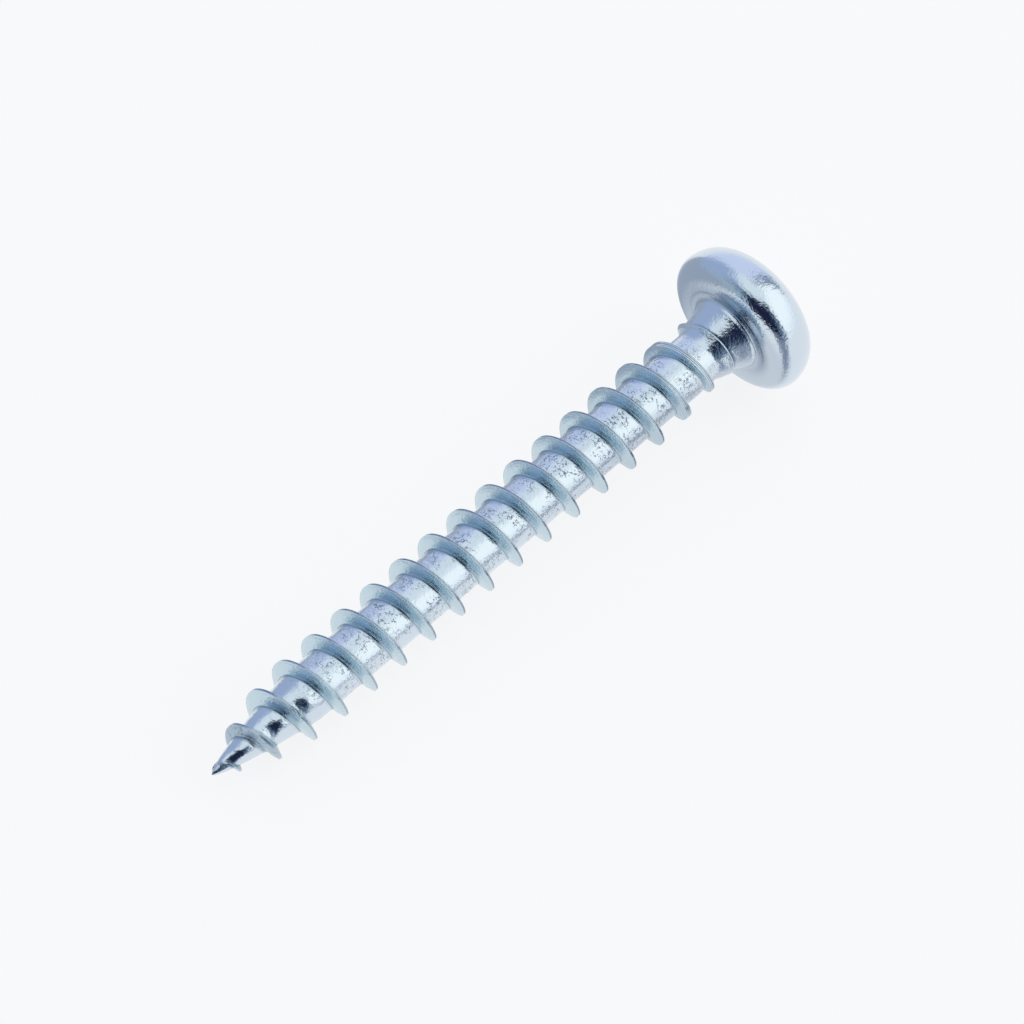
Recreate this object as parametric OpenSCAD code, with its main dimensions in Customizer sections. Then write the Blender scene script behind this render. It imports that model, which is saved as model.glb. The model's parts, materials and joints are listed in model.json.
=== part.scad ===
// Round head wood screw, lying on its side as it comes to rest on a flat surface.
// One solid: a tapered point, a coarse right hand thread, a plain neck with a small
// ridge, a flared neck under the head, and a round head with a cross recess in its top.
// Sizes are in millimetres. Heights, called z, run along the screw from the tip (0)
// to the head. The finished screw is then laid down along X with its head towards +X.

/* [Length and head] */
// length from the tip to the flat face under the head
length = 29.6; // [22:0.1:60]
// largest diameter of the head
head_d = 6.86; // [6.2:0.02:8]
// radius of the rounding between the flat face under the head and the widest line
under_r = 0.84; // [0.5:0.02:1]
// height of the dome above the widest line
dome_h = 2.08; // [1.8:0.02:2.6]
// radius of the dome's side, next to the widest line
dome_side_r = 1.58; // [1.2:0.02:1.7]

/* [Thread] */
// diameter over the crests near the point
thread_d = 3.46; // [3.2:0.02:3.8]
// diameter over the crests at the head end of the full thread
thread_d_head = 3.56; // [3.2:0.02:3.8]
// distance between neighbouring crests
pitch = 1.65; // [1.4:0.05:2]
// diameter at the root of the thread, next to the point
core_d = 2.3; // [2:0.02:2.4]
// diameter at the root of the thread, at the head end
core_d_head = 2.42; // [2.2:0.02:2.5]
// width, at the root, of the hollow flank that faces the point
flank_point = 0.36; // [0.25:0.01:0.45]
// width, at the root, of the flank that faces the head
flank_head = 0.2; // [0.12:0.01:0.3]
// width of the crest
crest_w = 0.03; // [0.02:0.01:0.08]
// extra width of the flattened crest on the last turns before the neck
flat_w = 0.3; // [0:0.02:0.4]
// angle of the crest around the screw, measured at the tip
thread_angle = 85.4; // [0:0.1:359]

/* [Point] */
// length over which the core tapers to the tip
point_len = 4.95; // [4:0.05:7]
// how full the tapered core is: 1 is a straight cone, and less is fuller
point_power = 0.65; // [0.5:0.01:1]
// length over which the crest rises to its full diameter
rise_len = 6; // [5:0.05:9]
// how fast the crest rises at first: 1 is a straight line, and more is faster
rise_power = 2.4; // [1.6:0.1:3]

/* [Neck] */
// distance from the face under the head back to the ridge
ridge_back = 1.14; // [1:0.02:1.6]
// diameter of the ridge
ridge_d = 2.84; // [2.76:0.02:3]
// width of the flat on top of the ridge
ridge_w = 0.06; // [0.02:0.01:0.1]
// length before the ridge over which the thread fades out
fade_len = 3.4; // [2.4:0.1:5]
// diameter of the plain neck where it meets the ridge
plain_d = 2.6; // [2.54:0.02:2.72]
// diameter of the flared neck at its thin end, behind the ridge
neck_d = 2.66; // [2.54:0.02:2.74]
// diameter of the flared neck where it meets the head
neck_d_head = 3.5; // [3.2:0.02:3.7]
// radius of the small fillet between the flared neck and the head
fillet_r = 0.1; // [0.04:0.02:0.14]
// outer diameter of the low ring around the neck, on the face under the head
ring_d = 4.2; // [4:0.02:4.6]
// height of the low ring
ring_h = 0.04; // [0.02:0.01:0.1]

/* [Cross recess] */
// distance across the wings of the recess at the top of the dome
recess_d = 3.6; // [3:0.05:4]
// depth of the recess below the top of the dome
recess_depth = 1.9; // [1.4:0.05:2.2]
// width of each wing
wing_w = 0.85; // [0.7:0.05:1]
// distance across the wings at the bottom of the recess
recess_d_low = 1.44; // [1:0.02:1.8]

/* [Hidden] */
$fn = 96;
head_r = head_d / 2;
widest_z = length + under_r;
top_z = widest_z + dome_h;
seat_z = length - ring_h;
ridge_z = length - ridge_back;

// the dome's wide arc is tangent to its side arc and level at the axis
dome_top_r = (head_r * head_r + dome_h * dome_h - 2 * head_r * dome_side_r)
    / (2 * (dome_h - dome_side_r));
dome_top_z = top_z - dome_top_r;
join_angle = atan2(dome_top_r - dome_h, head_r - dome_side_r);

// the ridge's slopes, towards the thread and towards the head
ridge_front = 0.07;
ridge_rear = 0.05;

// the full thread ends at fade_z, and the plain neck covers the end of the threaded part
neck_cover = 0.8;
fade_z = ridge_z - fade_len;
inside_z = ridge_z + 0.1;
plain_z = inside_z - neck_cover;

// the thread starts from nothing at the tip and has its full width at start_len
start_len = 1.2;
tip_blend = 0.36;
turn_steps = 36;
tip_steps = 43;
steps = tip_steps + floor(inside_z / pitch * turn_steps);

// value between a and b at share t, held at the ends
function between(a, b, t) = a + (b - a) * max(0, min(1, t));

// radius at the root of the thread at height z
function core_r(z) = between(core_d, core_d_head, z / fade_z) / 2
    * pow(min(1, z / point_len), point_power);

// share of the full thread height that is left at height z, from the fade to the ridge
function height_left(z) = lookup((ridge_z - z) / fade_len,
    [[-0.03, 0.1], [0.08, 0.44], [0.32, 0.44], [0.57, 0.74], [0.8, 0.75], [1, 1]]);

// share of the extra crest width at height z
function flat_share(z) = lookup((ridge_z - z) / fade_len,
    [[0, 0.4], [0.32, 0.5], [0.57, 1], [0.8, 0.8], [1, 0]]);

// radius over the full crest at height z, as it rises from the tip
function full_r(z) = between(thread_d, thread_d_head, z / fade_z) / 2
    * (1 - pow(max(0, 1 - z / rise_len), rise_power));

// height of the crest above the root at height z
function crest_h(z) = height_left(z) * max(0, full_r(z) - core_r(z));

// heights are squeezed together near the tip, so that the thread begins there
function squeezed(z) = (z + sqrt(z * z + tip_blend * tip_blend)) / 2;

// middle of the crest and its angle around the screw, at each step along the thread
function raw_z(i) = (i - tip_steps) * pitch / turn_steps;
function crest_z(i) = squeezed(raw_z(i));
function crest_a(i) = 360 * raw_z(i) / pitch + thread_angle;

// six points across the thread, from the flank facing the tip to the flank facing the head
share_up = [0, 0.4, 1, 1, 0.4, 0];
function across(j, w) = [
        -w - flank_point,
        -w - 0.1 * flank_point,
        -w,
        w,
        w + 0.8 * flank_head,
        w + flank_head
    ][j];

function turned(r, a, z) = [r * cos(a), r * sin(a), z];
function thread_point(i, j) = let (
        c = crest_z(i),
        half_w = (crest_w + flat_w * flat_share(c)) / 2,
        z = c + min(1, c / start_len) * across(j, half_w)
    ) turned(core_r(z) + crest_h(c) * share_up[j], crest_a(i), z);

// the threaded part: a strip wound around the axis, each turn joined to the next
module threaded_part() {
    ring_start = 1 + 6 * (steps - 1);
    points = concat(
        [turned(core_r(crest_z(0)), crest_a(0), crest_z(0))],
        [for (i = [1:steps - 1]) for (j = [0:5]) thread_point(i, j)],
        [for (i = [steps:steps + turn_steps - 1]) turned(core_r(inside_z), crest_a(i), inside_z)]
    );
    // number of the point at step i, place j: one single point at the tip, a flat ring at the end
    function at(i, j) = i <= 0 ? 0
        : i >= steps ? ring_start + (i - steps) % turn_steps
        : 1 + 6 * (i - 1) + j;
    quads = concat(
        [for (i = [0:steps - 1]) for (j = [0:4]) [at(i, j), at(i, j + 1), at(i + 1, j + 1), at(i + 1, j)]],
        [for (i = [1 - turn_steps:steps - 1])
            [at(i, 5), at(i + turn_steps, 0), at(i + 1 + turn_steps, 0), at(i + 1, 5)]]
    );
    halves = [for (q = quads) each [[q[0], q[1], q[2]], [q[0], q[2], q[3]]]];
    sides = [for (t = halves) if (t[0] != t[1] && t[1] != t[2] && t[2] != t[0]) t];
    end = [for (k = [turn_steps - 1:-1:0]) ring_start + k];
    polyhedron(points, concat(sides, [end]), convexity = 20);
}

// half outline of the plain neck, the ridge and the flared neck
module neck_outline() {
    rear_z = ridge_z + ridge_w / 2 + ridge_rear;
    slope = atan2((neck_d_head - neck_d) / 2, seat_z - rear_z);
    corner = [neck_d_head / 2, seat_z];
    polygon([
        [0, plain_z],
        [core_d_head / 2 + 0.01, plain_z],
        [plain_d / 2, ridge_z - ridge_w / 2 - ridge_front],
        [ridge_d / 2, ridge_z - ridge_w / 2],
        [ridge_d / 2, ridge_z + ridge_w / 2],
        [neck_d / 2, rear_z],
        corner,
        [corner[0], widest_z],
        [0, widest_z]
    ]);
    // the fillet follows the flared neck and the face of the low ring, and its arc bites
    // into both by a fiftieth of its radius, so that it meets them at a clean edge
    bite = 1.02;
    back = fillet_r * (1 - sin(slope)) / cos(slope);
    on_neck = corner - back * [sin(slope), cos(slope)];
    middle = on_neck + fillet_r * [cos(slope), -sin(slope)];
    difference() {
        polygon([
            on_neck,
            middle,
            [middle[0], seat_z + ring_h / 2],
            [corner[0] - ring_h, seat_z + ring_h / 2]
        ]);
        translate(middle) circle(bite * fillet_r);
    }
}

// half outline of the head with the low ring on the flat face under it
module head_outline() {
    translate([0, seat_z]) square([ring_d / 2, ring_h + under_r]);
    translate([0, length]) square([head_r - under_r, under_r]);
    intersection() {
        translate([head_r - under_r, widest_z]) circle(under_r);
        translate([0, length]) square([head_r, under_r]);
    }
    intersection() {
        translate([head_r - dome_side_r, widest_z]) circle(dome_side_r);
        translate([0, widest_z]) square([head_r, dome_h]);
    }
    // the wide arc, above the line through both arcs' centres
    intersection() {
        translate([0, dome_top_z]) circle(dome_top_r);
        polygon([
            [0, dome_top_z],
            [0, dome_top_z] + 2 * dome_top_r * [cos(join_angle), sin(join_angle)],
            [0, dome_top_z + 2 * dome_top_r]
        ]);
        translate([0, widest_z]) square([head_r, dome_h]);
    }
}

// a cross whose wings slope in towards the axis as they go down
module cross_recess() {
    bottom_z = top_z - recess_depth;
    above = 0.5;
    r_low = recess_d_low / 2;
    r_above = r_low + (recess_d / 2 - r_low) * (recess_depth + above) / recess_depth;
    intersection() {
        translate([0, 0, bottom_z]) cylinder(h = recess_depth + above, r1 = r_low, r2 = r_above);
        translate([0, 0, bottom_z]) union() {
            translate([-recess_d, -wing_w / 2, 0]) cube([2 * recess_d, wing_w, recess_depth + 2 * above]);
            translate([-wing_w / 2, -recess_d, 0]) cube([wing_w, 2 * recess_d, recess_depth + 2 * above]);
        }
    }
}

// angle at which the screw leans when it lies on its head and on the crest at height z
function lean_on(z) = let (
        along = widest_z - z,
        up = head_r - under_r - core_r(z) - crest_h(z)
    ) atan2(up, along) + asin(under_r / norm([along, up]));
// the crest crosses the screw's lower side once a turn, and it lies on the first that touches
lean = min([for (k = [1:8]) lean_on(squeezed(pitch * (k - thread_angle / 360)))]);
rest_z = under_r + (head_r - under_r) * cos(lean) - widest_z * sin(lean);
middle_x = (dome_top_z * cos(lean) + dome_top_r) / 2;

module screw() {
    color([0.8, 0.83, 0.9])
    translate([-middle_x, 0, rest_z])
    rotate([0, 90 - lean, 0])
    union() {
        threaded_part();
        difference() {
            rotate_extrude() union() {
                neck_outline();
                head_outline();
            }
            cross_recess();
        }
    }
}

screw();
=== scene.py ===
"""The looks of a round head wood screw: cold formed, thread rolled and zinc plated steel.

One visual piece, zinc_screw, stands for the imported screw. Its thread is a strip wound along
the helix, its neck and head are rings raised one from another, and its recess is cut with
tapered tools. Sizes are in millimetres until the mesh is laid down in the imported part's frame.
Heights run along the screw from the tip, and angles run around it, as in the part's source.
"""

import json
import logging
import math
from dataclasses import dataclass, field
from enum import Enum

import bpy
import numpy as np
from mathutils import Matrix, Vector, noise


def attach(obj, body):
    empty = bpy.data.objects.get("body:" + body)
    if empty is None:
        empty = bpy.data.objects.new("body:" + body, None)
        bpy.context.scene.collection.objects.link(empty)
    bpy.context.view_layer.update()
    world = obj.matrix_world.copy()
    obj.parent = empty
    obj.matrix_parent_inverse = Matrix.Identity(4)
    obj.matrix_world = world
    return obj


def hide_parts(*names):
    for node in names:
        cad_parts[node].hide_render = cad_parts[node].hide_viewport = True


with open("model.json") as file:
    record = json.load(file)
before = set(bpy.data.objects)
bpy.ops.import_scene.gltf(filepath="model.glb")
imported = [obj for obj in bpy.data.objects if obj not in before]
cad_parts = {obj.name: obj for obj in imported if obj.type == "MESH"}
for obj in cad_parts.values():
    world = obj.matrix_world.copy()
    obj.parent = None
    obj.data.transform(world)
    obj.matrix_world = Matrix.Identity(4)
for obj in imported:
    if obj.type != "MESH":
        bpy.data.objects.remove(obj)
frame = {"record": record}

logging.basicConfig(level=logging.INFO, format="%(message)s")
log = logging.getLogger("screw")

# types that recur, under short names
Piece, Tree, Node, Socket = bpy.types.Object, bpy.types.NodeTree, bpy.types.Node, bpy.types.NodeSocket
Array, Pair, Row = np.ndarray, tuple[float, float], tuple[float, ...]

MM = 0.001
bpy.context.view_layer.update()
# points around one turn, in the strip and in every ring
TURN_STEPS = 96
# heights of the flat face under the head and of the ridge
LENGTH, RIDGE_Z = 29.6, 28.46
# the piece's own map, in millimetres around and along the screw
AROUND = "around_mm"
# a Mix node's sockets for two colours and for their mix
MIX_A, MIX_B, MIXED = 6, 7, 2


class Face(Enum):
    """The faces that a point of the thread can lie on."""

    SEAM = "seam"
    CREST = "crest"
    FLANK = "flank"
    FOOT = "foot"
    LAND = "land"


class Mark(Enum):
    """Point attributes: the lands, the flanks with their painted shade, the seam mark that paints shade
    into seams, creases and grooves and darkens the first fin, and where the plating shows wrinkles.
    """

    LAND = "land"
    FLANK = "flank"
    SEAM = "seam"
    WRINKLE = "wrinkle"


def linear(code: str) -> tuple[float, float, float, float]:
    """Turns an sRGB hex colour into linear values.

    Args:
        code: six hex digits, with or without a leading hash.

    Returns:
        Linear red, green, blue and an alpha of one.
    """
    code = code.lstrip("#")
    values = [int(code[i:i + 2], 16) / 255 for i in (0, 2, 4)]
    red, green, blue = [v / 12.92 if v <= 0.04045 else ((v + 0.055) / 1.055) ** 2.4 for v in values]
    return red, green, blue, 1.0


def new_material(name: str) -> tuple[bpy.types.Material, Tree]:
    """Starts a material with an empty node tree.

    Args:
        name: the material's name.

    Returns:
        The material and its tree.
    """
    made = bpy.data.materials.new(name)
    made.use_nodes = True
    made.node_tree.nodes.clear()
    return made, made.node_tree


def add_node(tree: Tree, kind: str, inputs: dict, **settings) -> Node:
    """Adds one node with its settings, its constants and its links.

    Args:
        tree: the node tree that gets the node.
        kind: the node's type name, without the beginning that all of them share.
        inputs: what goes into each socket, by name or number: a constant, a socket to link, or
            a node, whose first output is then linked.
        **settings: the node's own properties.

    Returns:
        The new node.
    """
    made = tree.nodes.new("ShaderNode" + kind)
    for name, value in settings.items():
        setattr(made, name, value)
    for name, value in inputs.items():
        source = value.outputs[0] if isinstance(value, Node) else value
        if isinstance(source, Socket):
            tree.links.new(source, made.inputs[name])
        else:
            made.inputs[name].default_value = source
    return made


def direction(azimuth: float) -> Vector:
    """Gives the level unit vector of a direction, with azimuth 0 towards -Y and 90 towards +X."""
    return Vector((math.sin(math.radians(azimuth)), -math.cos(math.radians(azimuth)), 0))


def smooth_share(value: Array, low: float, high: float) -> Array:
    """Rises smoothly from 0 at low to 1 at high."""
    share = np.clip((value - low) / (high - low), 0, 1)
    return share * share * (3 - 2 * share)


def deselect() -> None:
    """Leaves edit mode and deselects every object."""
    if bpy.context.object and bpy.context.object.mode != "OBJECT":
        bpy.ops.object.mode_set(mode="OBJECT")
    bpy.ops.object.select_all(action="DESELECT")


def coordinates(piece: Piece) -> Array:
    """Reads a mesh's points.

    Args:
        piece: the object whose mesh is read.

    Returns:
        One row of x, y and z for each vertex.
    """
    values = np.zeros(len(piece.data.vertices) * 3)
    piece.data.vertices.foreach_get("co", values)
    return values.reshape(-1, 3)


def set_coordinates(piece: Piece, points: Array) -> None:
    """Writes a mesh's vertices from an array of points."""
    piece.data.vertices.foreach_set("co", np.ascontiguousarray(points, dtype=float).ravel())
    piece.data.update()


def write_mark(piece: Piece, mark: Mark, values: Array) -> None:
    """Writes one mark onto a mesh's points."""
    attribute = piece.data.attributes.new(mark.value, "FLOAT", "POINT")
    attribute.data.foreach_set("value", values.astype(np.float32))


def read_mark(piece: Piece, mark: Mark) -> Array:
    """Reads one mark from a mesh's points.

    Args:
        piece: the object whose mesh has the mark.
        mark: which mark.

    Returns:
        One value for each vertex.
    """
    values = np.zeros(len(piece.data.vertices), dtype=np.float32)
    piece.data.attributes[mark.value].data.foreach_get("value", values)
    return values


@dataclass(frozen=True)
class Lie:
    """Where the screw lies: the seat's centre and the axis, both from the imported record."""

    seat: Vector
    axis: Vector
    length: float = LENGTH

    @classmethod
    def from_record(cls, record: dict) -> "Lie":
        """Reads the mount at the seat under the head.

        Args:
            record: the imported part's record.

        Returns:
            The lie, with its axis from the tip to the head.
        """
        mount = next(m for m in record["mounts"] if m["name"] == "head_seat")
        return cls(Vector(mount["pos_m"]), -Vector(mount["axis"]).normalized())

    def matrix(self) -> Matrix:
        """Works out how the upright screw is laid down.

        Returns:
            The matrix from the upright screw, in millimetres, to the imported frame.
        """
        down = Vector((self.axis.z, 0, -self.axis.x))
        side = Vector((0, 1, 0))
        tip = self.seat - self.axis * self.length * MM
        turn = Matrix((down, side, self.axis)).transposed().to_4x4()
        return Matrix.Translation(tip) @ turn @ Matrix.Scale(MM, 4)


@dataclass
class ThreadedShank:
    """The point and the thread, wound as one strip from the tip to the plain neck.

    crest_r and core_r are given at the tip and at fade_z, where the full thread ends.
    """

    pitch: float = 1.65
    crest_r: Pair = (1.73, 1.78)
    core_r: Pair = (1.15, 1.21)
    angle: float = 85.4

    # widths at the root of both flanks, and of the crest, which is flatter on the last turns
    flank_point: float = 0.295
    flank_head: float = 0.2
    crest_w: float = 0.1
    flat_w: float = 0.24
    least_scale: float = 0.12
    # half a crest from its middle out: share of the width, share of the height, face
    crest_half: tuple[tuple[float, float, Face], ...] = (
        (0, 0.95, Face.SEAM), (0.14, 0.95, Face.SEAM), (0.26, 1, Face.CREST), (0.5, 1, Face.CREST),
        (0.62, 0.95, Face.SEAM), (0.74, 1, Face.CREST), (1, 1, Face.CREST),
    )
    # the flank towards the head, down from the crest: shares of the height, and how hollow it is
    head_shares: Row = (0.9, 0.7, 0.45, 0.22, 0.08, 0)
    head_hollow: float = 0.8
    # the flank towards the point, up from the root: share of the width, share of the height, face
    point_half: tuple[tuple[float, float, Face], ...] = (
        (0, 0, Face.FLANK), (0.07, 0.016, Face.FOOT), (0.17, 0.05, Face.FOOT), (0.29, 0.1, Face.FLANK),
        (0.34, 0.16, Face.FLANK), (0.42, 0.32, Face.FLANK), (0.53, 0.52, Face.FLANK),
        (0.75, 0.75, Face.FLANK), (1, 0.98, Face.FLANK),
    )
    land_points: int = 9

    # the point: how far the root and the crest rise, and how the thread starts from nothing
    point_len: float = 4.95
    point_power: float = 0.65
    rise_len: float = 6.0
    rise_power: float = 2.4
    tip_blend: float = 0.36
    tip_lift: float = 0.045
    tip_lift_len: float = 0.2
    tip_settle: float = 0.2
    tip_turns: float = 1.2
    tip_z: float = 0.06

    # the last turns: where the thread fades, and the shares of its height and of the crest's extra
    # width there, against the share of the way back from the ridge
    fade_z: float = 25.06
    fade_end: float = RIDGE_Z
    last_z: float = 28.1
    height_back: Row = (0.12, 0.2, 0.32, 0.57, 0.8, 1)
    height_kept: Row = (0, 0.44, 0.44, 0.74, 0.75, 1)
    flat_back: Row = (0, 0.32, 0.57, 0.8, 1)
    flat_kept: Row = (0.4, 0.5, 1, 0.8, 0)

    # the waist of the plain neck, and the hollow flare that follows it up to the ridge
    waist: float = 0.03
    waist_len: float = 1.2
    flare_z: float = 27.87
    flare_slope: float = 0.46
    flare_turn: float = 0.1
    flare_from: Pair = (1.0, 0.3)

    # waves on the lands: their height, how many in a millimetre around and along, and where
    wave: float = 0.007
    wave_count: Pair = (2.2, 4.5)
    wave_rise: Pair = (4.5, 7.5)
    wave_fall: Pair = (26.5, 27.6)
    # dents near the point: height, angle, slope, half length and half angle
    point_dents: tuple[Row, ...] = (
        (1.2, -143, 0.26, 0.4, 26), (3.08, -138, 0.37, 0.26, 19), (4.46, -143, 0.4, 0.22, 16),
    )

    # marks: the crest's height from which they are full, how strong the painted shade is on the foot of the
    # flank, and how dark the first fin's flanks are made
    marked_h: float = 0.2
    foot_shade: float = 0.9
    fin_mark: float = 0.6
    fin_fall: Pair = (2.4, 3.2)
    seam_rise: Pair = (3.0, 12.0)

    end_step: int = field(init=False)

    def __post_init__(self) -> None:
        """Moves the end of the strip onto a step."""
        self.end_step = int(round((self.last_z / self.pitch + self.tip_turns) * TURN_STEPS))
        raw = (self.end_step / TURN_STEPS - self.tip_turns) * self.pitch
        self.last_z = float(self.squeezed(np.array(raw)))

    def root_r(self, z: Array) -> Array:
        """Gives the root's radius, with the hollow flare before the ridge.

        Args:
            z: heights along the screw.

        Returns:
            A radius for each height.
        """
        share = np.clip(z / self.fade_z, 0, 1)
        full = self.core_r[0] + (self.core_r[1] - self.core_r[0]) * share
        taper = np.power(np.clip(z / self.point_len, 0, 1), self.point_power)
        waist = self.waist * smooth_share(z, self.flare_z - self.waist_len, self.flare_z)
        past = z - self.flare_z
        flare = self.flare_slope * (past + np.sqrt(past * past + self.flare_turn ** 2)) / 2
        first, whole = self.flare_from
        return full * taper - waist + flare * smooth_share(z, self.flare_z - first, self.flare_z - whole)

    def height_left(self, z: Array) -> Array:
        """Gives the share of the full thread height that is left on the last turns."""
        back = (self.fade_end - z) / (self.fade_end - self.fade_z)
        return np.interp(back, self.height_back, self.height_kept)

    def flat_share(self, z: Array) -> Array:
        """Gives the share of the extra crest width on the last turns."""
        back = (self.fade_end - z) / (self.fade_end - self.fade_z)
        return np.interp(back, self.flat_back, self.flat_kept)

    def crest_h(self, z: Array) -> Array:
        """Gives the crest's height above the root.

        Args:
            z: heights along the screw.

        Returns:
            A height of the thread for each of them.
        """
        share = np.clip(z / self.fade_z, 0, 1)
        full = self.crest_r[0] + (self.crest_r[1] - self.crest_r[0]) * share
        before = np.clip(1 - z / self.rise_len, 0, 1)
        lift = self.tip_lift * np.clip(z / self.tip_lift_len, 0, 1) * before
        root = self.root_r(np.minimum(z, self.fade_z))
        rise = 1 - np.power(before, self.rise_power)
        return self.height_left(z) * np.maximum(0, full * rise + lift - root)

    def squeezed(self, z: Array) -> Array:
        """Presses heights together near the tip, so that the thread begins there."""
        return (z + np.sqrt(z * z + self.tip_blend ** 2)) / 2

    def line_z(self, step: Array) -> Array:
        """Follows the middle of the crest, held at the tip and at the end.

        Args:
            step: steps along the thread.

        Returns:
            A height for each step.
        """
        raw = (step / TURN_STEPS - self.tip_turns) * self.pitch
        start = self.squeezed(np.array(-self.tip_turns * self.pitch))
        z = self.squeezed(raw) - start * np.exp(-np.maximum(raw, 0) / self.tip_settle)
        return np.clip(np.where(step <= 0, 0, z), 0, self.last_z)

    def step_angle(self, step: Array) -> Array:
        """Gives the angle around the screw at each step, in degrees."""
        return 360 * (step / TURN_STEPS - self.tip_turns) + self.angle

    def sizes(self, crest: Array, room: Array) -> tuple[Array, Array]:
        """Works out how wide the thread is.

        Args:
            crest: heights of the crest along the screw.
            room: the share of a full pitch that the turn has.

        Returns:
            Half the crest's width, and the scale of the flanks' widths.
        """
        full_h = self.crest_r[0] - self.core_r[0]
        scale = np.clip(self.crest_h(crest) / full_h, self.least_scale, 1) * room
        half = (self.crest_w + self.flat_w * self.flat_share(crest)) / 2 * room
        return half, scale

    def across(self, low: Array, high: Array) -> tuple[Array, Array, list[Face]]:
        """Lays out the points across one turn, from one crest to the next.

        Args:
            low: heights of the crest towards the tip, one for each step.
            high: heights of the crest towards the head.

        Returns:
            The heights, the share of the crest's height, and each point's face.
        """
        room = np.clip((high - low) / self.pitch, 0, 1)
        half, scale = self.sizes(low, room)
        rows = [(low + half * reach, share, face) for reach, share, face in self.crest_half]
        for share in self.head_shares:
            down = self.flank_head * scale * (1 - share) ** self.head_hollow
            rows.append((low + half + down, share, Face.FLANK))
        foot = rows[-1][0]
        half, scale = self.sizes(high, room)
        width = self.flank_point * scale
        start = high - half - width
        for k in range(1, self.land_points + 1):
            rows.append((foot + (start - foot) * k / (self.land_points + 1), 0, Face.LAND))
        rows += [(high - half - width * (1 - reach), share, face)
                 for reach, share, face in self.point_half]
        rows += [(high - half * reach, share, face) for reach, share, face in reversed(self.crest_half)]
        heights, shares, faces = zip(*rows)
        return np.array(heights), np.array(shares), list(faces)

    def build(self) -> Piece:
        """Winds a flat grid into the thread.

        Returns:
            The threaded strip, open at its last ring, upright and in millimetres.
        """
        steps = np.arange(0, self.end_step + TURN_STEPS + 1)
        low, high = self.line_z(steps - TURN_STEPS), self.line_z(steps)
        heights, shares, faces = self.across(low, high)
        long, wide = len(steps) - 1, len(faces) - 1
        deselect()
        bpy.ops.mesh.primitive_grid_add(x_subdivisions=long, y_subdivisions=wide, size=1)
        strip = bpy.context.active_object
        flat = coordinates(strip)
        along = np.rint((flat[:, 0] + 0.5) * long).astype(int)
        over = np.rint((flat[:, 1] + 0.5) * wide).astype(int)
        z = heights[over, along]
        crest = np.where(over <= wide // 2, low[along], high[along])
        share = shares[over]
        angle = np.radians(self.step_angle(steps[along].astype(float)))
        radius = self.root_r(z) + self.crest_h(crest) * share
        radius += self.waves(angle, z, share) + self.dents(angle, z) * (1 - share)
        points = np.column_stack((radius * np.cos(angle), radius * np.sin(angle), z))
        points[z < self.tip_z] = 0
        set_coordinates(strip, points)
        self.mark_faces(strip, np.array([face.value for face in faces])[over], crest)
        return strip

    def mark_faces(self, strip: Piece, faces: Array, crest: Array) -> None:
        """Marks the lands and the flanks, paints shade as dark lines into the crest's seam and the foot of
        the flank, and darkens the first fin's flanks.

        Args:
            strip: the threaded strip.
            faces: the name of each point's face.
            crest: the height of the crest that each point belongs to.
        """
        on = {face: faces == face.value for face in Face}
        raised = np.clip(self.crest_h(crest) / self.marked_h, 0, 1)
        # painted shade: a dark line along the crease at the foot of the flank
        foot = self.foot_shade * raised
        fin = self.fin_mark * (1 - smooth_share(crest, *self.fin_fall))
        # painted shade in the crest's seam
        seam = raised * smooth_share(crest, *self.seam_rise)
        flanks = [on[Face.FLANK], on[Face.FOOT]]
        write_mark(strip, Mark.LAND, np.where(on[Face.LAND], 1.0, 0.0))
        write_mark(strip, Mark.FLANK, np.select(flanks, [raised, foot]))
        write_mark(strip, Mark.SEAM, np.select([*flanks, on[Face.SEAM]], [fin, foot, seam]))

    def dents(self, angle: Array, z: Array) -> Array:
        """Gives the slanting dents that the dies press into the lands near the point.

        Args:
            angle: angles around the screw, in radians.
            z: heights along it.

        Returns:
            How far each point moves out.
        """
        total = np.zeros(len(z))
        for height, turn, slope, half_z, half_turn in self.point_dents:
            along = (z - height) / half_z
            off = (np.degrees(angle) - turn + 180) % 360 - 180
            total += slope * half_z * along * np.exp(-along ** 2 / 2 - (off / half_turn) ** 2 / 2)
        return total

    def waves(self, angle: Array, z: Array, share: Array) -> Array:
        """Gives the shallow waves that rolling leaves on the lands, clear of the point and the ridge.

        Args:
            angle: angles around the screw, in radians.
            z: heights along it.
            share: shares of the crest's height, 0 on the lands.

        Returns:
            How far each point moves out.
        """
        size = self.wave * smooth_share(z, *self.wave_rise) * (1 - smooth_share(z, *self.wave_fall))
        around, along = self.wave_count
        r = self.core_r[0] * around
        values = [noise.noise(Vector((r * math.cos(a), r * math.sin(a), h * along)))
                  for a, h in zip(angle, z)]
        return size * (1 - share) * np.array(values)


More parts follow.
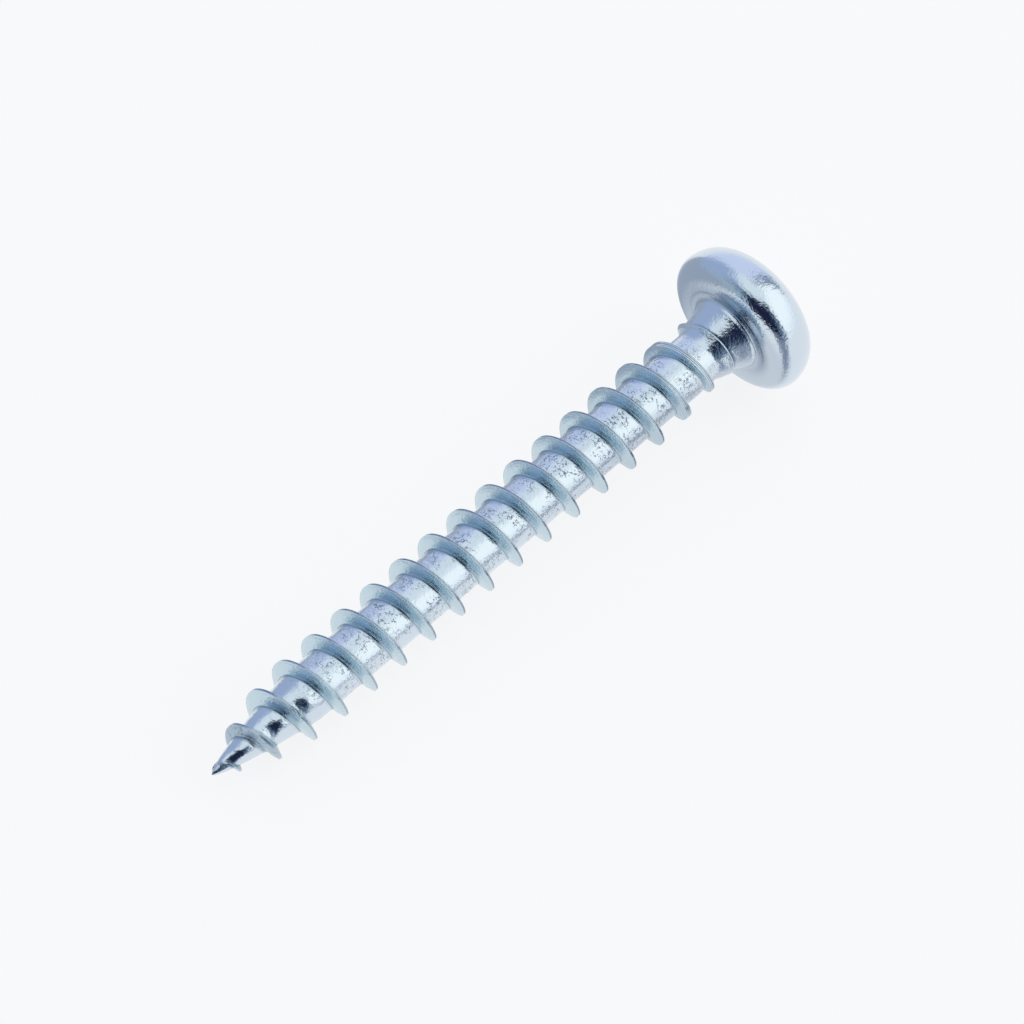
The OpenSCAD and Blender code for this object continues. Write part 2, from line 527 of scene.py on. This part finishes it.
@dataclass
class NeckAndHead:
    """The plain neck's end, the ridge, the flared neck and the head, raised ring by ring."""

    shank: ThreadedShank
    seat_z: float = 29.56
    length: float = LENGTH
    head_r: float = 3.43
    under_r: float = 0.84
    dome_h: float = 2.08
    dome_side_r: float = 1.58
    # the dome's last ring, in degrees up its wide arc, and the height of the cap that closes it
    dome_end: float = 88.5
    cap_h: float = 0.0005
    # how many rings each curve of the outline has
    flare_rings: int = 5
    neck_rings: int = 14
    fillet_rings: int = 6
    rim_rings: int = 19
    side_rings: int = 14
    dome_rings: int = 26

    # the flat under the head: rings on the low ring's top, its edge, and rings on the face beyond
    ring_r: float = 2.1
    ring_flat: Row = (1.93, 1.96, 2.05)
    ring_edge: Pair = (0.01, 0.008)
    face_flat: Row = (2.15, 2.25, 2.45)

    # the flared neck: its end as steps from neck_r and seat_z, how much it bows, where on the way its
    # first ring lies, and its fillet
    neck_r: float = 1.75
    neck_end: Pair = (-0.02, -0.14)
    neck_bow: float = 0.12
    neck_first: float = 0.08
    fillet_r: float = 0.11
    fillet_gap: float = 0.002
    fillet_turn: Pair = (160.0, 96.0)

    # the ridge: its outline as steps out from ridge_r and up from ridge_z, where the flare below it
    # ends, and its tilt
    ridge_r: float = 1.39
    ridge_z: float = RIDGE_Z
    ridge_outline: tuple[Pair, ...] = (
        (-0.01, -0.05), (0.01, -0.03), (0.01, 0.0), (-0.01, 0.02), (-0.07, 0.035), (-0.09, 0.06),
        (-0.06, 0.1),
    )
    ridge_low: float = 0.06
    ridge_tilt: float = 0.12
    tilt_full: float = 0.1
    tilt_fall: Pair = (28.6, 29.3)
    # the fin that rolling leaves on the ridge, at an angle from the face towards the camera
    face_angle: float = -153.8
    fin_angle: float = -88.0
    fin_half: float = 38.0
    fin_w: float = 0.07
    fin_back: float = 0.2
    fin_out: float = 0.14

    # painted shade: the groove above the ridge, and the low ring at the neck's base, darkest at ring_turn
    # from the face
    groove_up: float = 0.06
    groove_w: float = 0.05
    groove_shade: float = 1.5
    band_r: float = 2.04
    band_w: float = 0.26
    band_reach: float = 0.12
    band_shade: float = 1.3
    ring_turn: float = 22.0

    def arc(self, centre: Pair, radius: float, start: float, end: float, count: int) -> list[Pair]:
        """Gives the points of an arc in the outline, from one angle to another.

        Args:
            centre: the arc's middle, as radius and height.
            radius: the arc's own radius.
            start: first angle in degrees, 0 pointing away from the axis.
            end: last angle in degrees.
            count: how many points.

        Returns:
            Points as radius and height.
        """
        angles = np.radians(np.linspace(start, end, count))
        return [(centre[0] + radius * math.cos(a), centre[1] + radius * math.sin(a)) for a in angles]

    def neck_outline(self) -> list[Pair]:
        """Gives the half outline from the strip's last ring to the flat under the head.

        Returns:
            Points as radius and height.
        """
        flare = [(float(self.shank.root_r(np.array(z))), z)
                 for z in np.linspace(self.shank.last_z, self.ridge_z - self.ridge_low, self.flare_rings)]
        ridge = [(self.ridge_r + out, self.ridge_z + up) for out, up in self.ridge_outline]
        low_r, low_z = ridge[-1]
        high_r, high_z = self.neck_r + self.neck_end[0], self.seat_z + self.neck_end[1]
        neck = []
        for share in np.linspace(self.neck_first, 1, self.neck_rings):
            bowed = (1 - self.neck_bow) * share + self.neck_bow * share ** 3
            neck.append((low_r + (high_r - low_r) * bowed, low_z + (high_z - low_z) * share))
        centre = (high_r + self.fillet_r, self.seat_z - self.fillet_r - self.fillet_gap)
        return flare + ridge + neck + self.arc(centre, self.fillet_r, *self.fillet_turn, self.fillet_rings)

    def head_outline(self) -> list[Pair]:
        """Gives the half outline of the head, from the low ring to the middle of the dome.

        Returns:
            Points as radius and height.
        """
        out, up = self.ring_edge
        ring = [(r, self.seat_z) for r in self.ring_flat]
        ring += [(self.ring_r - out, self.seat_z + up), (self.ring_r + out, self.length - up)]
        face = [(r, self.length) for r in self.face_flat]
        widest = self.length + self.under_r
        rim = self.arc((self.head_r - self.under_r, widest), self.under_r, -90, 0, self.rim_rings)
        side, high = self.dome_side_r, self.dome_h
        # the dome's wide arc is tangent to its side arc and level at the axis
        top_r = (self.head_r ** 2 + high ** 2 - 2 * self.head_r * side) / (2 * (high - side))
        join = math.degrees(math.atan2(top_r - high, self.head_r - side))
        dome_side = self.arc((self.head_r - side, widest), side, 0, join, self.side_rings)[1:]
        dome = self.arc((0, widest + high - top_r), top_r, join, self.dome_end, self.dome_rings)[1:]
        return ring + face + rim + dome_side + dome

    def build(self) -> Piece:
        """Raises the rings one from another and closes the dome.

        Returns:
            The neck and head, open at the first ring, upright and in millimetres.
        """
        points = self.neck_outline() + self.head_outline()
        first_r, first_z = points[0]
        deselect()
        bpy.ops.mesh.primitive_circle_add(vertices=TURN_STEPS, radius=first_r, location=(0, 0, first_z))
        head = bpy.context.active_object
        bpy.ops.object.transform_apply(location=True, rotation=False, scale=False)
        bpy.ops.object.mode_set(mode="EDIT")
        bpy.ops.mesh.select_all(action="SELECT")
        for (r0, z0), (r1, z1) in zip(points, points[1:]):
            bpy.ops.mesh.extrude_region_move(TRANSFORM_OT_translate={"value": (0, 0, z1 - z0)})
            bpy.ops.transform.resize(value=(r1 / r0, r1 / r0, 1), center_override=(0, 0, z1))
        bpy.ops.mesh.extrude_region_move(TRANSFORM_OT_translate={"value": (0, 0, self.cap_h)})
        bpy.ops.mesh.merge(type="CENTER")
        bpy.ops.object.mode_set(mode="OBJECT")
        self.turn_to(head, self.shank.step_angle(0.0))
        self.paint_dark_shade(head)
        return head

    def paint_dark_shade(self, head: Piece) -> None:
        """Paints shade dark into the groove above the ridge and onto the low ring at the neck's base.

        Args:
            head: the neck and head, upright.
        """
        x, y, z = coordinates(head).T
        groove = np.exp(-((z - self.ridge_z - self.groove_up) / self.groove_w) ** 2)
        band = np.exp(-((np.hypot(x, y) - self.band_r) / self.band_w) ** 2)
        band *= np.abs(z - self.seat_z) < self.band_reach
        turn = np.arctan2(y, x) - math.radians(self.face_angle + self.ring_turn)
        facing = ((1 + np.cos(turn)) / 2) ** 2
        write_mark(head, Mark.SEAM, self.groove_shade * groove + self.band_shade * band * facing)

    def turn_to(self, head: Piece, angle: float) -> None:
        """Turns the rings so that their first point meets the strip's.

        Args:
            head: the neck and head, upright.
            angle: where the first point goes, in degrees.
        """
        points = coordinates(head)
        first = math.degrees(math.atan2(points[0][1], points[0][0]))
        turn = Matrix.Rotation(math.radians(angle - first), 3, "Z")
        set_coordinates(head, points @ np.array(turn).T)

    def tilt_ridge(self, points: Array) -> Array:
        """Sets the ridge slightly askew and draws out its fin, as rolling leaves them.

        Args:
            points: the piece's upright points.

        Returns:
            The moved points.
        """
        z = points[:, 2]
        angle = np.arctan2(points[:, 1], points[:, 0]) - math.radians(self.face_angle)
        share = smooth_share(z, self.shank.last_z, self.ridge_z - self.tilt_full)
        share *= 1 - smooth_share(z, *self.tilt_fall)
        off = (np.degrees(angle) - self.fin_angle + 180) % 360 - 180
        fin = np.exp(-(off / self.fin_half) ** 2)
        lip = np.exp(-((z - self.ridge_z) / self.fin_w) ** 2) * fin
        moved = points.copy()
        moved[:, 2] += (self.ridge_tilt * np.sin(angle) - self.fin_back * fin) * share
        moved[:, :2] *= 1 + (self.fin_out * lip / self.ridge_r)[:, None]
        return moved


@dataclass
class CrossRecess:
    """The cross recess in the top of the dome: four wings that narrow as they go down."""

    top_z: float = 32.52
    depth: float = 1.9
    across_top: float = 3.6
    across_low: float = 1.44
    wing_w: float = 0.85
    wing_low: float = 0.6
    above: float = 0.4
    # the angles of both cutting bars
    turns: Pair = (26.0, 116.0)

    def wing(self, turn: float) -> Piece:
        """Makes one tapered bar, turned about the screw's axis.

        Args:
            turn: the bar's angle in degrees.

        Returns:
            The cutting tool, upright and in millimetres.
        """
        high = self.depth + self.above
        grow = high / self.depth
        top_l = self.across_low + (self.across_top - self.across_low) * grow
        top_w = self.wing_low + (self.wing_w - self.wing_low) * grow
        deselect()
        bpy.ops.mesh.primitive_cube_add(size=1, location=(0, 0, self.top_z + self.above - high / 2))
        bar = bpy.context.active_object
        bar.scale = (top_l, top_w, high)
        bar.rotation_euler = (0, 0, math.radians(turn))
        points = coordinates(bar)
        low = points[:, 2] < 0
        points[low, 0] *= self.across_low / top_l
        points[low, 1] *= self.wing_low / top_w
        set_coordinates(bar, points)
        bpy.ops.object.transform_apply(location=True, rotation=True, scale=True)
        return bar

    def cut(self, head: Piece) -> None:
        """Cuts the recess into the head with two crossing bars.

        Args:
            head: the closed piece that gets the recess.
        """
        for turn in self.turns:
            bar = self.wing(turn)
            deselect()
            head.select_set(True)
            bpy.context.view_layer.objects.active = head
            modifier = head.modifiers.new("recess", "BOOLEAN")
            modifier.operation = "DIFFERENCE"
            modifier.solver = "EXACT"
            modifier.object = bar
            bpy.ops.object.modifier_apply(modifier=modifier.name)
            bpy.data.objects.remove(bar)


@dataclass(frozen=True)
class ZincPlating:
    """Bright zinc electroplated over rolled steel, with a clear blue passivate.

    To the eye it is a near mirror with a cold blue cast. The rolling dies leave wrinkles and
    pits on the lands, and the plating has a fine grain that breaks up the edges of reflections.
    """

    name: str = "bright_zinc_plating_blue_passivated"
    metal: str = "#d4dfe9"
    cast: str = "#cddae6"
    # flank: a darker, bluer tone on the flanks, painted shade standing in for their darker reflections
    flank: str = "#c3d7e2"
    pit: str = "#2b3442"
    # seam: a dark colour, painted shade in the crest's seam, along the foot of the flank, in the groove
    # above the ridge and on the ring under the head; it also darkens the first fin's flanks
    seam: str = "#5f7690"
    roughness: float = 0.07
    flank_roughness: float = 0.24
    pit_share: float = 0.7
    seam_share: float = 0.6
    # how far the thread climbs along the screw for each millimetre around its root
    lead: float = 0.217
    # depths of the bumps, in metres
    dent_depth: float = 0.011 * MM
    grain_depth: float = 0.013 * MM
    streak_depth: float = 0.012 * MM
    mark_depth: float = 0.02 * MM

    def rolled_marks(self, tree: Tree, around: Node) -> Node:
        """Draws the wrinkles and pits that the dies leave, where the wrinkle mark is set.

        Args:
            tree: the plating's node tree.
            around: the map in millimetres.

        Returns:
            A node that gives 1 in a mark and 0 beside it.
        """
        flat = {"noise_dimensions": "2D"}
        soft = {"interpolation_type": "SMOOTHSTEP"}
        # wrinkles: crooked lines 0.3 to 0.5 mm apart, broken about every 0.2 mm
        wide = add_node(tree, "Mapping", {"Vector": around, "Scale": (2.0, 3.0, 1)})
        fold = add_node(tree, "TexNoise", {"Vector": wide, "Scale": 1.0, "Detail": 4.0, "Roughness": 0.62},
                        **flat)
        middle = add_node(tree, "Math", {0: fold, 1: 0.5}, operation="SUBTRACT")
        off = add_node(tree, "Math", {0: middle}, operation="ABSOLUTE")
        line = add_node(tree, "MapRange", {"Value": off, "From Max": 0.026, "To Min": 1.0, "To Max": 0.0},
                        **soft)
        gaps = add_node(tree, "TexNoise", {"Vector": around, "Scale": 6.0, "Detail": 2.0}, **flat)
        gaps = add_node(tree, "MapRange", {"Value": gaps, "From Min": 0.44, "From Max": 0.52}, **soft)
        line = add_node(tree, "Math", {0: line, 1: gaps}, operation="MULTIPLY")
        # small pits, 0.05 mm wide and about 0.12 mm apart
        pit = add_node(tree, "TexNoise", {"Vector": around, "Scale": 9.0, "Detail": 2.0, "Roughness": 0.7},
                       **flat)
        pit = add_node(tree, "MapRange", {"Value": pit, "From Min": 0.66, "From Max": 0.72}, **soft)
        marks = add_node(tree, "Math", {0: line, 1: pit}, operation="MAXIMUM")
        # both come and go in patches of about 1 mm
        patch = add_node(tree, "TexNoise", {"Vector": around, "Scale": 0.9, "Detail": 1.0}, **flat)
        patch = add_node(tree, "MapRange", {"Value": patch, "From Min": 0.42, "From Max": 0.58}, **soft)
        wrinkle = add_node(tree, "Attribute", {}, attribute_name=Mark.WRINKLE.value)
        for share in (patch, wrinkle.outputs["Fac"]):
            marks = add_node(tree, "Math", {0: marks, 1: share}, operation="MULTIPLY")
        return marks

    def streaks(self, tree: Tree, around: Node, flank: Socket) -> Node:
        """Draws the streaks that the dies leave along the flanks, 0.04 mm apart.

        Args:
            tree: the plating's node tree.
            around: the map in millimetres.
            flank: 1 on the flanks.

        Returns:
            A node that gives the streaks' height.
        """
        climb = (-self.lead, 1.0, 0.0)
        along = add_node(tree, "VectorMath", {0: around, 1: climb}, operation="DOT_PRODUCT")
        parts = add_node(tree, "SeparateXYZ", {0: around})
        drawn = add_node(tree, "CombineXYZ", {0: parts, 1: along.outputs["Value"]})
        drawn = add_node(tree, "Mapping", {"Vector": drawn, "Scale": (0.9, 24.0, 1)})
        fine = {"Scale": 1.0, "Detail": 3.0, "Roughness": 0.6}
        streak = add_node(tree, "TexNoise", {"Vector": drawn, **fine}, noise_dimensions="2D")
        return add_node(tree, "Math", {0: streak, 1: flank}, operation="MULTIPLY")

    def colour(self, tree: Tree, cloud: Node, flank: Socket, seam: Socket, marks: Node) -> Socket:
        """Lays the plating's colours one over another; the flank colour and the seam colour are painted
        shade.

        Args:
            tree: the plating's node tree.
            cloud: how much the passivate's cast shows.
            flank: 1 on the flanks.
            seam: how much the dark seam colour shows: painted shade in seams, creases and grooves, and the
                first fin's darker flanks.
            marks: 1 in the wrinkles and pits.

        Returns:
            The colour's socket.
        """
        lined = add_node(tree, "Math", {0: seam, 1: self.seam_share}, operation="MULTIPLY")
        dark = add_node(tree, "Math", {0: marks, 1: self.pit_share}, operation="MULTIPLY")
        under = linear(self.metal)
        for code, share in ((self.cast, cloud), (self.flank, flank), (self.seam, lined), (self.pit, dark)):
            mixed = add_node(tree, "Mix", {0: share, MIX_A: under, MIX_B: linear(code)}, data_type="RGBA")
            under = mixed.outputs[MIXED]
        return under

    def material(self) -> bpy.types.Material:
        """Builds the plating's material.

        Returns:
            A metal whose patterns are scaled in millimetres.
        """
        made, tree = new_material(self.name)
        place = add_node(tree, "TexCoord", {})
        in_mm = add_node(tree, "Mapping", {"Vector": place.outputs["Object"], "Scale": (1 / MM,) * 3})
        around = add_node(tree, "UVMap", {}, uv_map=AROUND)
        # flank sets the flanks' painted shade and roughness; seam sets the painted shade in seams, creases
        # and grooves
        flank = add_node(tree, "Attribute", {}, attribute_name=Mark.FLANK.value).outputs["Fac"]
        seam = add_node(tree, "Attribute", {}, attribute_name=Mark.SEAM.value).outputs["Fac"]
        # real grain is far finer: it is drawn 0.12 mm across, so that it shows in the reflections' edges
        grain = add_node(tree, "TexNoise", {"Vector": in_mm, "Scale": 8.0, "Detail": 4.0, "Roughness": 0.6})
        # soft clouds of the bluish passivate, about 2 mm across
        cloud = add_node(tree, "TexNoise", {"Vector": in_mm, "Scale": 0.5, "Detail": 2.0})
        # shallow dents all over, about 0.25 mm across
        dent = add_node(tree, "TexNoise", {"Vector": in_mm, "Scale": 4.0, "Detail": 2.0})
        marks = self.rolled_marks(tree, around)
        streaks = self.streaks(tree, around, flank)

        ends = {"To Min": self.roughness, "To Max": self.flank_roughness}
        finish = {
            "Metallic": 1.0,
            "Base Color": self.colour(tree, cloud, flank, seam, marks),
            "Roughness": add_node(tree, "MapRange", {"Value": flank, **ends}),
        }
        normal = {}
        for height, depth, inward in (
            (dent, self.dent_depth, False), (grain, self.grain_depth, False),
            (streaks, self.streak_depth, False), (marks, self.mark_depth, True),
        ):
            bump = {"Height": height, "Distance": depth, "Strength": 1.0, **normal}
            normal = {"Normal": add_node(tree, "Bump", bump, invert=inward)}
        shader = add_node(tree, "BsdfPrincipled", {**finish, **normal})
        add_node(tree, "OutputMaterial", {"Surface": shader})
        return made


@dataclass
class Screw:
    """The whole screw: threaded shank, neck, head and recess in one closed piece."""

    lie: Lie
    shank: ThreadedShank = field(default_factory=ThreadedShank)
    recess: CrossRecess = field(default_factory=CrossRecess)
    plating: ZincPlating = field(default_factory=ZincPlating)
    # points closer than merge become one, and edges shorter than speck are dissolved
    merge: float = 0.0001
    speck: float = 0.00005
    smooth_angle: float = 24.0
    cut_angle: float = 26.2
    # wrinkles on the lands, fewer before the ridge, and a few on the first fin's flanks
    wrinkle_rise: Pair = (4.2, 6.5)
    wrinkle_fall: Pair = (26.6, 27.6)
    wrinkle_drop: float = 0.8
    fin_wrinkle: float = 0.35
    fin_fall: Pair = (2.2, 3.2)

    def build(self) -> Piece:
        """Makes the piece, lays it down and dresses it.

        Returns:
            The finished piece.
        """
        strip = self.shank.build()
        top = NeckAndHead(self.shank)
        head = top.build()
        piece = self.join(strip, head)
        set_coordinates(piece, top.tilt_ridge(coordinates(piece)))
        self.recess.cut(piece)
        self.unwrap(piece)
        self.mark_wrinkles(piece)
        piece.data.transform(self.lie.matrix())
        bpy.ops.object.shade_smooth_by_angle(angle=math.radians(self.smooth_angle))
        piece.data.materials.clear()
        piece.data.materials.append(self.plating.material())
        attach(piece, "root")
        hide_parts("screw")
        log.info("zinc_screw: %d faces", len(piece.data.polygons))
        return piece

    def join(self, strip: Piece, head: Piece) -> Piece:
        """Joins the strip and the head and closes every seam between them.

        Args:
            strip: the threaded strip.
            head: the neck and head.

        Returns:
            One closed piece named zinc_screw.
        """
        deselect()
        head.select_set(True)
        strip.select_set(True)
        bpy.context.view_layer.objects.active = strip
        bpy.ops.object.join()
        strip.name = strip.data.name = "zinc_screw"
        bpy.ops.object.mode_set(mode="EDIT")
        bpy.ops.mesh.select_all(action="SELECT")
        bpy.ops.mesh.remove_doubles(threshold=self.merge)
        bpy.ops.mesh.dissolve_degenerate(threshold=self.speck)
        bpy.ops.mesh.select_all(action="SELECT")
        bpy.ops.mesh.normals_make_consistent(inside=False)
        bpy.ops.object.mode_set(mode="OBJECT")
        return strip

    def unwrap(self, piece: Piece) -> None:
        """Gives the piece a map in millimetres around and along, cut along its underside.

        Args:
            piece: the closed piece, upright and in millimetres.
        """
        points = coordinates(piece)
        mesh = piece.data
        corners = np.zeros(len(mesh.loops), dtype=int)
        mesh.loops.foreach_get("vertex_index", corners)
        totals = np.zeros(len(mesh.polygons), dtype=int)
        mesh.polygons.foreach_get("loop_total", totals)
        middles = np.zeros(len(mesh.polygons) * 3)
        mesh.polygons.foreach_get("center", middles)
        middles = np.repeat(middles.reshape(-1, 3), totals, axis=0)
        cut = math.radians(self.cut_angle)
        face = np.mod(np.arctan2(middles[:, 1], middles[:, 0]) - cut, 2 * math.pi)
        own = np.arctan2(points[corners, 1], points[corners, 0]) - cut
        own += 2 * math.pi * np.round((face - own) / (2 * math.pi))
        values = np.column_stack((own * self.shank.core_r[1], points[corners, 2]))
        layer = mesh.uv_layers.new(name=AROUND)
        layer.data.foreach_set("uv", values.astype(np.float32).ravel())

    def mark_wrinkles(self, piece: Piece) -> None:
        """Sets where the rolled wrinkles and pits show.

        Args:
            piece: the closed piece, upright and in millimetres.
        """
        z = coordinates(piece)[:, 2]
        land, flank = read_mark(piece, Mark.LAND), read_mark(piece, Mark.FLANK)
        near_ridge = self.wrinkle_drop * smooth_share(z, *self.wrinkle_fall)
        values = land * smooth_share(z, *self.wrinkle_rise) * (1 - near_ridge)
        values += self.fin_wrinkle * flank * (1 - smooth_share(z, *self.fin_fall))
        write_mark(piece, Mark.WRINKLE, values)


@dataclass(frozen=True)
class Panel:
    """A soft-edged panel or opening of the light tent, in degrees around and above the screw."""

    azimuth: float
    half: float
    low: float
    high: float
    colour: str
    level: float
    soft: float
    soft_up: float

    def share(self, tree: Tree, ray: Node, rise: Node) -> Node:
        """Gives how much of the panel shows in each direction.

        Args:
            tree: the tent's node tree.
            ray: the direction from the tent's middle.
            rise: the direction's angle above the floor, in radians.

        Returns:
            A node that gives 1 within the panel and 0 outside it.
        """
        ahead, aside = [
            add_node(tree, "VectorMath", {0: ray, 1: direction(self.azimuth + turn)},
                     operation="DOT_PRODUCT").outputs["Value"] for turn in (0, 90)
        ]
        turn = add_node(tree, "Math", {0: aside, 1: ahead}, operation="ARCTAN2")
        turn = add_node(tree, "Math", {0: turn}, operation="ABSOLUTE")
        inside = None
        for angle, outer, inner in (
            (rise, self.low - self.soft_up, self.low + self.soft_up),
            (rise, self.high + self.soft_up, self.high - self.soft_up),
            (turn, self.half + self.soft, self.half - self.soft),
        ):
            ends = {"From Min": math.radians(outer), "From Max": math.radians(inner)}
            edge = add_node(tree, "MapRange", {"Value": angle, **ends}, interpolation_type="SMOOTHSTEP")
            if inside is None:
                inside = edge
            else:
                inside = add_node(tree, "Math", {0: inside, 1: edge}, operation="MULTIPLY")
        return inside


class Measure(Enum):
    """How an edge on the floor is measured: straight along a way, or out from a place."""

    ALONG = "DOT_PRODUCT"
    FROM = "DISTANCE"


@dataclass(frozen=True)
class FloorEdge:
    """A soft edge between two tones of the floor, from least at start to 1 at end, in millimetres."""

    measure: Measure
    vector: tuple[float, float, float]
    start: float
    end: float
    least: float = 0.0

    def share(self, tree: Tree, place: Node) -> Node:
        """Gives the share beyond the edge.

        Args:
            tree: the floor's node tree.
            place: the place on the floor, in millimetres.

        Returns:
            A node that gives the share.
        """
        far = add_node(tree, "VectorMath", {0: place, 1: self.vector}, operation=self.measure.value)
        ends = {"From Min": self.start, "From Max": self.end, "To Min": self.least}
        return add_node(tree, "MapRange", {"Value": far.outputs["Value"], **ends},
                        interpolation_type="SMOOTHSTEP")


@dataclass
class Studio:
    """A light tent with one dark opening, a pale floor and the camera, in metres."""

    eye: Vector = field(default_factory=lambda: Vector((-83.6497, -85.3395, 170.7988)) * MM)
    aim: Vector = field(default_factory=lambda: Vector((0.3281, -0.2885, 3.4180)) * MM)
    lens: float = 176.82
    sensor: float = 36.0
    clip: Pair = (0.01, 10.0)

    tent_r: float = 1.0
    cloth: str = "#f6fcff"
    # each panel lies over those before it: azimuth, half width, low and high edge, colour, level,
    # and how soft the sides and the low and high edges are
    panels: tuple[Panel, ...] = (
        Panel(45, 50, -99, 58, "#fdfffb", 1.27, 4, 9),
        Panel(45, 50, -99, 10, "#f5faff", 1.1, 4, 12),
        Panel(140, 46, -99, 62, "#e3e9ff", 1.02, 8, 10),
        Panel(-158, 42, -99, 62, "#b0bfdc", 1.0, 14, 12),
        Panel(93, 7, -8, 66, "#8292a8", 1.0, 4, 6),
        Panel(-100, 24, -99, 52, "#869eb3", 1.0, 10, 8),
        Panel(-116, 24, -99, 26, "#b0c0ce", 1.0, 8, 6),
        Panel(-14, 14, -99, 60, "#63768b", 1.0, 4, 7),
        Panel(-14, 14, -99, 16, "#7c90a3", 1.0, 4, 7),
        Panel(-58, 35, -99, 56, "#232a43", 1.0, 4, 5),
    )

    floor_r: float = 0.98
    paper: str = "#fafafc"
    glow_seen: float = 0.84
    glow_mirrored: float = 0.95
    white: str = "#ffffff"
    # the next two tones are painted shadow: darker tones that metal sees in the floor's glow away from its
    # white part, the second darker still
    glow_painted_shadow: str = "#acb4c2"
    glow_painted_shadow_front: str = "#8d97aa"
    # the white part of the glow in metal: its front and back edges, the painted shadow by the neck, and
    # where it starts again beyond the head; outside it, metal sees the painted shadow tones above
    front_edge: FloorEdge = FloorEdge(Measure.ALONG, (0.8, -1.0, 0.0), 14.4, 12.8)
    back_edge: FloorEdge = FloorEdge(Measure.ALONG, (0.25, 1.0, 0.0), 8.2, 5.2)
    neck_edge: FloorEdge = FloorEdge(Measure.FROM, (12.6, 0.5, 0.0), 4.0, 12.0, 0.65)
    head_edge: FloorEdge = FloorEdge(Measure.ALONG, (1.0, -0.25, 0.0), 12.5, 14.8)

    def tent(self) -> Piece:
        """Puts up the tent, a dome of soft light that the camera looks through.

        Returns:
            The tent.
        """
        deselect()
        bpy.ops.mesh.primitive_uv_sphere_add(segments=64, ring_count=32, radius=self.tent_r)
        dome = bpy.context.active_object
        dome.name = dome.data.name = "light_tent"
        dome.visible_camera = False
        made, tree = new_material("lit_white_tent_cloth")
        made.cycles.emission_sampling = "NONE"
        place = add_node(tree, "TexCoord", {})
        ray = add_node(tree, "VectorMath", {0: place.outputs["Object"]}, operation="NORMALIZE")
        parts = add_node(tree, "SeparateXYZ", {0: ray})
        rise = add_node(tree, "Math", {0: parts.outputs["Z"]}, operation="ARCSINE")
        light = linear(self.cloth)
        for panel in self.panels:
            lit = (*[v * panel.level for v in linear(panel.colour)[:3]], 1.0)
            over = {0: panel.share(tree, ray, rise), MIX_A: light, MIX_B: lit}
            light = add_node(tree, "Mix", over, data_type="RGBA").outputs[MIXED]
        lamp = add_node(tree, "Emission", {"Color": light, "Strength": 1.0})
        add_node(tree, "OutputMaterial", {"Surface": lamp})
        dome.data.materials.append(made)
        log.info("light tent")
        return dome

    def backdrop(self) -> None:
        """Makes everything beyond the floor plain white."""
        world = bpy.data.worlds.new("white_backdrop")
        bpy.context.scene.world = world
        world.use_nodes = True
        tree = world.node_tree
        tree.nodes.clear()
        plain = add_node(tree, "Background", {"Color": linear(self.white), "Strength": 1.0})
        add_node(tree, "OutputWorld", {"Surface": plain})

    def glow_tone(self, tree: Tree, seen: Socket) -> Socket:
        """Gives the colour of the floor's glow: white as seen, and with painted shadow tones where metal
        mirrors it.

        Args:
            tree: the floor's node tree.
            seen: 1 where the camera looks at the floor itself.

        Returns:
            The colour's socket.
        """
        place = add_node(tree, "TexCoord", {})
        in_mm = add_node(tree, "Mapping", {"Vector": place.outputs["Object"], "Scale": (1 / MM,) * 3})
        edges = (self.front_edge, self.back_edge, self.neck_edge, self.head_edge)
        front, back, neck, head = [edge.share(tree, in_mm) for edge in edges]
        bright = front
        for other, operation in (
            (back, "MULTIPLY"), (neck, "MULTIPLY"), (head, "MAXIMUM"), (seen, "MAXIMUM"),
        ):
            bright = add_node(tree, "Math", {0: bright, 1: other}, operation=operation)
        tones = {MIX_A: linear(self.glow_painted_shadow_front), MIX_B: linear(self.glow_painted_shadow)}
        # painted shadow: one tone within the front edge, a darker one beyond it
        low = add_node(tree, "Mix", {0: front, **tones}, data_type="RGBA").outputs[MIXED]
        tones = {MIX_A: low, MIX_B: linear(self.white)}
        return add_node(tree, "Mix", {0: bright, **tones}, data_type="RGBA").outputs[MIXED]

    def floor(self) -> Piece:
        """Lays the pale round floor, a matt sheet that also glows, as if lit from below; the glow that
        metal mirrors carries painted shadow.

        Returns:
            The floor.
        """
        deselect()
        bpy.ops.mesh.primitive_circle_add(vertices=96, radius=self.floor_r, fill_type="NGON")
        sheet = bpy.context.active_object
        sheet.name = sheet.data.name = "floor"
        made, tree = new_material("white_paper_matt")
        path = add_node(tree, "LightPath", {})
        camera_ray = path.outputs["Is Camera Ray"]
        glow = add_node(tree, "Emission", {"Color": self.glow_tone(tree, camera_ray), "Strength": 1.0})
        matt = add_node(tree, "BsdfDiffuse", {"Color": linear(self.paper)})
        rays = {0: path.outputs["Is Glossy Ray"], 1: path.outputs["Is Transmission Ray"]}
        mirrored = add_node(tree, "Math", rays, operation="MAXIMUM")
        mirrored = add_node(tree, "Math", {0: mirrored, 1: self.glow_mirrored}, operation="MULTIPLY")
        seen = add_node(tree, "Math", {0: camera_ray, 1: self.glow_seen}, operation="MULTIPLY")
        share = add_node(tree, "Math", {0: seen, 1: mirrored}, operation="MAXIMUM")
        both = add_node(tree, "MixShader", {0: share, 1: matt, 2: glow})
        add_node(tree, "OutputMaterial", {"Surface": both})
        sheet.data.materials.append(made)
        log.info("floor")
        return sheet

    def camera(self) -> Piece:
        """Sets the camera at the photograph's viewing angle.

        Returns:
            The camera.
        """
        deselect()
        bpy.ops.object.camera_add(location=self.eye)
        made = bpy.context.active_object
        made.rotation_euler = (self.aim - self.eye).to_track_quat("-Z", "Y").to_euler()
        made.data.lens = self.lens
        made.data.sensor_width = self.sensor
        made.data.clip_start, made.data.clip_end = self.clip
        bpy.context.scene.camera = made
        log.info("camera")
        return made


def main() -> None:
    scene = bpy.context.scene
    scene.view_settings.view_transform = "Standard"
    studio = Studio()
    studio.camera()
    studio.backdrop()
    studio.tent()
    studio.floor()
    Screw(Lie.from_record(frame["record"])).build()


if __name__ == "__main__":
    main()
